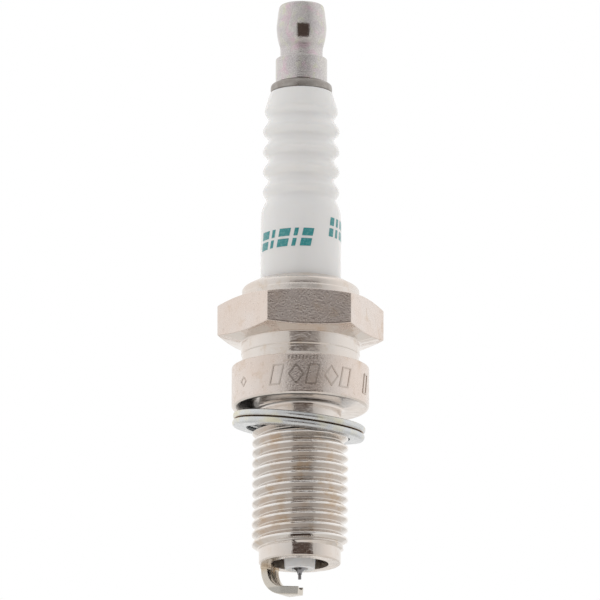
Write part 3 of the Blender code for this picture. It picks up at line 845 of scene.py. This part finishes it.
def patch_on_cylinder(mesh_data, corners, radius, height, inset=0.0, steps=6):
    """A raised quad wrapped on a cylinder, its top drawn in from its foot.

    Its corners are (arc length, height), with arc lengths from the line that faces the camera.
    """
    foot = [Vector(corner) for corner in corners]
    middle = sum(foot, Vector((0.0, 0.0))) / 4
    top = [corner + (middle - corner).normalized() * inset * 1.4 for corner in foot]

    def on(quad, u, v, r):
        a, b, c, d = quad
        flat = (a * (1 - u) + b * u) * (1 - v) + (d * (1 - u) + c * u) * v
        turn = math.radians(VIEW_AZIMUTH_DEG - 90.0) + flat.x / radius
        return mesh_data.verts.new(Vector((math.cos(turn) * r, math.sin(turn) * r, flat.y)) * MM)

    spans = [i / steps for i in range(steps + 1)]
    raised = [[on(top, u, v, radius + height) for u in spans] for v in spans]
    sunk = [[on(foot, u, v, radius - 0.02) for u in spans] for v in spans]
    for i in range(steps):
        for j in range(steps):
            for grid in (raised, sunk[::-1]):
                mesh_data.faces.new((grid[j][i], grid[j][i + 1], grid[j + 1][i + 1], grid[j + 1][i]))
    edges = [[(0, i) for i in range(steps + 1)], [(i, steps) for i in range(steps + 1)]]
    edges += [[(steps, i) for i in range(steps, -1, -1)], [(i, 0) for i in range(steps, -1, -1)]]
    for edge in edges:
        for (j, i), (n, m) in zip(edge, edge[1:]):
            mesh_data.faces.new((sunk[j][i], sunk[n][m], raised[n][m], raised[j][i]))


def slanted_bar(start, width, low, high, slant):
    """A bar's corners. It leans over by slant times its height."""
    lean = (high - low) * slant
    return [(start, low), (start + width, low), (start + width + lean, high), (start + lean, high)]


def lozenge(middle, reach, low, high):
    centre_z = (low + high) / 2
    return [(middle - reach, centre_z), (middle, low), (middle + reach, centre_z), (middle, high)]


def outline_on_cylinder(mesh_data, corners, radius, width, height, inset=0.0, steps=4):
    """A raised line along each side of a polygon wrapped on a cylinder."""
    count = len(corners)
    for i in range(count):
        start, end = Vector(corners[i]), Vector(corners[(i + 1) % count])
        along = (end - start).normalized()
        across = Vector((-along.y, along.x)) * width / 2
        start, end = start - along * width / 2, end + along * width / 2
        quad = [start - across, end - across, end + across, start + across]
        patch_on_cylinder(mesh_data, quad, radius, height, inset, steps)


def split_bar(start, width, low, high, slant):
    """A slanted bar cut across into two, as its lower and upper parts."""
    gap = 0.14 * (high - low)
    half = (high - low - gap) / 2
    step = (half + gap) * slant
    return [
        slanted_bar(start, width, low, low + half, slant),
        slanted_bar(start + step, width, high - half, high, slant),
    ]


def ink_marks(material):
    """Plain slanted bars printed round the ceramic, in two groups of (start, width) along the arc."""
    mesh_data = bmesh.new()
    thickness = 0.012
    left_group = ((-6.3, 1.5), (-4.3, 0.5), (-3.2, 1.5), (-1.2, 0.5), (-0.15, 1.35))
    right_group = ((3.75, 0.75), (4.95, 0.5), (6.0, 1.4), (8.0, 0.5))
    for bars, low, high, slant in ((left_group, 18.9, 21.1, 0.22), (right_group, 20.4, 22.8, 0.15)):
        for start, width in bars:
            for quad in split_bar(start, width, low, high, slant):
                patch_on_cylinder(mesh_data, quad, HEAD_R, thickness)
    return as_object("ink_marks", mesh_data, material)


def stamped_marks(material):
    """Generic stamping on the collar: outlined slanted bars and lozenges, and a row of short ticks above."""
    mesh_data = bmesh.new()
    low, high, slant = 1.25, 3.6, 0.22
    line, proud, inset = 0.2, 0.07, 0.05
    figures = []
    for i in range(5):
        start = -3.9 + 2.26 * i
        if i % 2 == 0:
            figures.append(slanted_bar(start, 1.25, low, high, slant))
        else:
            figures.append(lozenge(start + 1.1, 0.9, low, high))
    figures.append(slanted_bar(9.6, 0.9, low, high, slant))
    for figure in figures:
        outline_on_cylinder(mesh_data, figure, COLLAR_R, line, proud, inset)
    outline_on_cylinder(mesh_data, lozenge(-8.2, 0.5, 1.7, 2.8), COLLAR_R, 0.18, 0.04, inset)
    for i in range(9):
        tick = slanted_bar(-1.6 + 0.44 * i, 0.22, COLLAR_TOP_Z - 0.8, COLLAR_TOP_Z - 0.25, slant)
        patch_on_cylinder(mesh_data, tick, COLLAR_R, 0.045, 0.03, 2)
    return as_object("stamped_marks", mesh_data, material)


def hook_path():
    """The ground electrode's centre line as (distance along, height, slope), and half its thickness."""
    thickness, outer_r, bend_r, bend_deg = 1.0, 5.0, 2.8, 85.0
    past_axis, bend_steps, leg_steps = 0.12, 24, 8
    half = thickness / 2
    start = -outer_r + half
    rise = math.radians(90.0 - bend_deg)
    bend = math.radians(bend_deg)
    leg_start = start + bend_r * (1 - math.cos(bend))
    leg_z = WIRE_LOW.z - SPARK_GAP - half / math.cos(rise) - leg_start * math.tan(rise)
    bend_top = leg_z + bend_r * math.sin(bend)
    path = [(start, NOSE_Z - drop, 90.0) for drop in (-0.2, 0.0, 0.1, 0.2, 0.32)]
    for i in range(bend_steps + 1):
        turn = bend_deg * i / bend_steps
        angle = math.radians(turn)
        along = start + bend_r * (1 - math.cos(angle))
        path.append((along, bend_top - bend_r * math.sin(angle), 90.0 - turn))
    leg = past_axis - leg_start
    for i in range(1, leg_steps + 1):
        share = i / leg_steps
        path.append((leg_start + leg * share, leg_z - leg * share * math.tan(rise), 90.0 - bend_deg))
    return path, half


def hook(material):
    """The bent ground electrode: upset at its weld, grooved along its inner face, tapered to its tip."""
    mesh_data = bmesh.new()
    path, half = hook_path()
    width, tip_width, taper_from = 2.5, 1.1, -2.1
    groove, floor = 0.45, half - 0.35
    tip_at = path[-1][0]
    rings = []
    for along, z, slope in path:
        share = min(max((along - taper_from) / (tip_at - taper_from), 0.0), 1.0)
        side = (width + (tip_width - width) * share) / 2
        out = Vector((math.sin(math.radians(slope)), 0.0, math.cos(math.radians(slope))))
        section = rounded(
            [
                (-side, -half, 0.16),
                (side, -half, 0.16),
                (side, half, 0.12),
                (groove, half, 0.06),
                (0.8 * groove, floor, 0.12),
                (-0.8 * groove, floor, 0.12),
                (-groove, half, 0.06),
                (-side, half, 0.12),
            ],
            4,
            beside=0.0,
        )
        centre = Vector((along, 0.0, z))
        upset = 1.0 + 0.09 * smoothstep(NOSE_Z - 0.34, NOSE_Z - 0.08, z)
        reach = [(Vector((0.0, a, 0.0)) + out * o) * upset for a, o in section]
        rings.append([mesh_data.verts.new((centre + offset) * MM) for offset in reach])
    for first, second in zip(rings, rings[1:]):
        for j in range(len(first)):
            k = (j + 1) % len(first)
            mesh_data.faces.new((first[j], first[k], second[k], second[j]))
    mesh_data.faces.new(rings[0])
    mesh_data.faces.new(rings[-1][::-1])
    mesh_data.transform(Matrix.Rotation(math.radians(HOOK_TURN_DEG), 4, "Z"))
    return as_object("ground_hook", mesh_data, material)


def build_pieces():
    shell = turned("shell_body", shell_section, bright_nickel(), SHELL_COLUMNS)
    finish_shell(shell)
    show(shell, "plug", "nickel_plate", "metal_shell")
    show(stamped_marks(struck_nickel_painted_shade()), "plug", "nickel_plate")

    outline = insulator_outline()
    show(turned("ceramic_body", lambda _: outline, glaze()), "plug", "glazed_alumina", "insulator")
    show(ink_marks(ink()), "plug", "glazed_alumina")

    show(turned("stud_body", stud_section, turned_steel(), 96), "plug", "bare_steel", "terminal_stud")
    nut = nut_outline()
    show(turned("nut_body", lambda _: nut, zinc_plate(), 96), "terminal_nut", "zinc_plate", "terminal_nut")

    ring = gasket_outline()
    gasket = turned("gasket_ring", lambda _: ring, gasket_zinc(), 144)
    gasket.matrix_world = gasket_placement()
    show(gasket, "gasket", "gasket_zinc", "gasket")

    # The hook's material paints shade on its sideways faces.
    hook_alloy_painted_side_shade = drawn_alloy("hook_alloy_painted_side_shade", (0.66, 0.62, 0.56), (0.6, 0.5, 0.38), NOSE_Z - 1.2, NOSE_Z)
    show(hook(hook_alloy_painted_side_shade), "plug", "nickel_alloy", "ground_electrode")
    sheath_alloy = drawn_alloy("sheath_alloy", (0.3, 0.3, 0.32), (0.4, 0.37, 0.35), -20.0, -18.0)
    sheath = sheath_outline()
    sheath_body = turned("sheath_body", lambda _: sheath, sheath_alloy, 64)
    show(sheath_body, "plug", "nickel_alloy", "center_electrode")
    wire = wire_outline()
    iridium = plain("iridium", (0.34, 0.34, 0.36), (0.22, 0.21, 0.22), 1.0, 0.35, 9.0)
    show(turned("wire_body", lambda _: wire, iridium, 48), "plug", "iridium", "iridium_tip")


def dress_hidden_nodes():
    steel = plain("packing_steel", (0.55, 0.54, 0.52), (0.4, 0.39, 0.37), 1.0, 0.35, 2.0)
    glass = plain("conductive_glass", (0.34, 0.22, 0.13), (0.16, 0.1, 0.07), 0.2, 0.45, 3.0)
    looks = {
        "copper_core": plain("copper", (0.85, 0.47, 0.3), (0.7, 0.35, 0.2), 1.0, 0.3, 1.5),
        "inner_seat_washer": plain("washer_copper", (0.82, 0.48, 0.32), (0.62, 0.34, 0.2), 1.0, 0.35, 2.0),
        "upper_packing_ring": steel,
        "lower_packing_ring": steel,
        "upper_glass_seal": glass,
        "lower_glass_seal": glass,
        "resistor": plain("resistor_mix", (0.12, 0.12, 0.13), (0.05, 0.05, 0.055), 0.0, 0.7, 5.0),
        "talc_packing": plain("talc", (0.86, 0.84, 0.8), (0.7, 0.68, 0.63), 0.0, 0.95, 6.0),
    }
    for name, material in looks.items():
        mesh = frame["nodes"][name].data
        mesh.materials.clear()
        mesh.materials.append(material)


# ---------------------------------------------------------------------------------------------- studio


def view_axes():
    """Level directions to the camera's right, and from the plug towards the camera."""
    azimuth = math.radians(VIEW_AZIMUTH_DEG)
    right = Vector((math.cos(azimuth), math.sin(azimuth), 0.0))
    return right, Vector((math.sin(azimuth), -math.cos(azimuth), 0.0))


def camera_axes():
    """The camera's right, up and back directions. Its film stands upright, so up is not square to back."""
    right, toward = view_axes()
    elevation = math.radians(VIEW_ELEVATION_DEG)
    back = toward * math.cos(elevation) + Vector((0.0, 0.0, math.sin(elevation)))
    lean = Matrix.Rotation(math.radians(VIEW_LEAN_DEG), 3, back)
    return lean @ right, lean @ Vector((0.0, 0.0, 1.0)), back


def aim_camera():
    """Sets the camera on the viewing line and fits the object's full height to the frame."""
    right, up, back = camera_axes()
    film_normal = up.cross(right).normalized()
    points = []
    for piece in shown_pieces():
        points += [piece.matrix_world @ vertex.co for vertex in piece.data.vertices]

    def image_height(point):
        ray = point - eye
        depth = ray.dot(film_normal) / -back.dot(film_normal)
        return (ray + back * depth).dot(up) / depth

    middle = (CAD_BOUNDS[0].z + CAD_BOUNDS[1].z) / 2
    aside = right * VIEW_ASIDE_M
    for _ in range(3):
        eye = Vector((0.0, 0.0, middle)) + back * VIEW_DISTANCE_M + aside
        heights = [image_height(point) for point in points]
        middle += ((max(heights) + min(heights)) / 2 - VIEW_DROP) * VIEW_DISTANCE_M
    half = (max(heights) - min(heights)) / 2 / (1 - FRAME_MARGIN)
    camera = bpy.data.cameras.new("camera")
    camera.sensor_width = 36.0
    camera.lens = camera.sensor_width / 2 / half
    camera.clip_start, camera.clip_end = 0.05, 20.0

    # The standard tips the camera's up against its back: the camera turns 45 degrees in a stretched holder
    along, across = up + back, back - up
    standard = bpy.data.objects.new("camera_standard", None)
    turn = Matrix((right, along.normalized(), across.normalized())).transposed()
    standard.location = eye
    standard.rotation_euler = turn.to_euler()
    standard.scale = (1.0, along.length / math.sqrt(2), across.length / math.sqrt(2))
    holder = bpy.data.objects.new("camera", camera)
    holder.parent = standard
    holder.rotation_euler = (math.radians(-45.0), 0.0, 0.0)
    for made in (standard, holder):
        bpy.context.scene.collection.objects.link(made)
    bpy.context.scene.camera = holder


def plane(name, width, height, colour, gloss=0.5):
    """A flat matt rectangle of the studio, not part of the plug."""
    mesh_data = bmesh.new()
    corners = [(-1, -1), (1, -1), (1, 1), (-1, 1)]
    mesh_data.faces.new([mesh_data.verts.new((x * width / 2, y * height / 2, 0.0)) for x, y in corners])
    mesh = bpy.data.meshes.new(name)
    mesh_data.to_mesh(mesh)
    mesh_data.free()
    look = bpy.data.materials.new(name)
    look.use_nodes = True
    shader = look.node_tree.nodes["Principled BSDF"]
    shader.inputs["Base Color"].default_value = (*colour, 1.0)
    shader.inputs["Roughness"].default_value = 0.9
    shader.inputs["Specular IOR Level"].default_value = gloss
    mesh.materials.append(look)
    made = bpy.data.objects.new(name, mesh)
    bpy.context.scene.collection.objects.link(made)
    made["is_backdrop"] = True
    return made


def dark_card(name, spans, colour, centre, axes):
    """A dark card that only reflections see, of spans (low, high) along the first two axes."""
    (low_a, high_a), (low_b, high_b) = spans
    card = plane(name, high_a - low_a, high_b - low_b, colour, 0.0)
    centre = SEAT + centre + axes[0] * (low_a + high_a) / 2 + axes[1] * (low_b + high_b) / 2
    card.matrix_world = Matrix.Translation(centre) @ Matrix(axes).transposed().to_4x4()
    card.visible_camera = False
    card.visible_shadow = False


def dark_cards():
    """The tent's opening round the camera, which metal and glaze mirror as a dark stripe, and a gap below."""
    right, toward = view_axes()
    up = Vector((0.0, 0.0, 1.0))
    distance = 1.45
    across = (-math.tan(math.radians(21)) * distance, math.tan(math.radians(37)) * distance)
    spans = (across, (-0.42, 0.375))
    dark_card("tent_opening", spans, (0.095, 0.07, 0.06), toward * distance, (right, up, toward))
    spans = ((-0.06, 0.112), (-0.01, 0.24))
    dark_card("stand_gap", spans, (0.07, 0.052, 0.045), up * -0.42, (right, -toward, up))


def light_tent():
    """A white tent: brightest at the sides and behind, dimmer in front, and plain white to the camera."""
    world = bpy.data.worlds.new("light_tent")
    bpy.context.scene.world = world
    world.use_nodes = True
    tree = world.node_tree
    links = tree.links
    ray = tree.nodes.new("ShaderNodeLightPath").outputs["Is Camera Ray"]
    direction = tree.nodes.new("ShaderNodeTexCoord").outputs["Generated"]
    turn = tree.nodes.new("ShaderNodeVectorRotate")
    turn.rotation_type = "Z_AXIS"
    turn.inputs["Angle"].default_value = math.radians(90.0 - VIEW_AZIMUTH_DEG)
    links.new(direction, turn.inputs["Vector"])
    split = tree.nodes.new("ShaderNodeSeparateXYZ")
    links.new(turn.outputs[0], split.inputs[0])
    angle = tree.nodes.new("ShaderNodeMath")
    angle.operation = "ARCTAN2"
    links.new(split.outputs["Y"], angle.inputs[0])
    links.new(split.outputs["X"], angle.inputs[1])
    share = tree.nodes.new("ShaderNodeMapRange")
    share.inputs["From Min"].default_value = -math.pi
    share.inputs["From Max"].default_value = math.pi
    links.new(angle.outputs[0], share.inputs["Value"])
    ramp = tree.nodes.new("ShaderNodeValToRGB")
    stops = (
        (-180, 1.0),
        (-100, 0.98),
        (-47, 0.8),
        (-25, 0.7),
        (0, 0.62),
        (35, 0.56),
        (60, 0.77),
        (81, 0.92),
        (105, 1.0),
    )
    while len(ramp.color_ramp.elements) < len(stops):
        ramp.color_ramp.elements.new(0.5)
    for element, (degrees, level) in zip(ramp.color_ramp.elements, stops):
        element.position = (degrees + 180) / 360
        element.color = (level, level * 0.985, level * 0.965, 1.0)
    links.new(share.outputs[0], ramp.inputs[0])
    pick = tree.nodes.new("ShaderNodeMix")
    pick.data_type = "RGBA"
    links.new(ray, pick.inputs[0])
    links.new(ramp.outputs[0], pick.inputs[6])
    pick.inputs[7].default_value = (1.0, 1.0, 1.0, 1.0)
    links.new(pick.outputs[2], tree.nodes["Background"].inputs["Color"])


def fill_light():
    """A big soft panel beside the camera that lifts the ceramic and is not mirrored in the metal."""
    data = bpy.data.lights.new("fill_panel", "AREA")
    data.shape = "SQUARE"
    data.size = 1.5
    data.energy = 1.7
    data.color = (1.0, 0.99, 0.985)
    panel = bpy.data.objects.new("fill_panel", data)
    _, _, back = camera_axes()
    panel.location = SEAT + back * 1.3 + Vector((0.0, 0.0, -0.25))
    panel.rotation_euler = (panel.location - SEAT).to_track_quat("Z", "Y").to_euler()
    panel.visible_camera = False
    panel.visible_glossy = False
    bpy.context.scene.collection.objects.link(panel)


def build_studio():
    floor = plane("floor", 12.0, 12.0, (0.9, 0.89, 0.87))
    floor.location.z = -1.5
    dark_cards()
    fill_light()
    light_tent()
    aim_camera()
    bpy.context.scene.view_settings.view_transform = "Standard"


build_pieces()
dress_hidden_nodes()
build_studio()
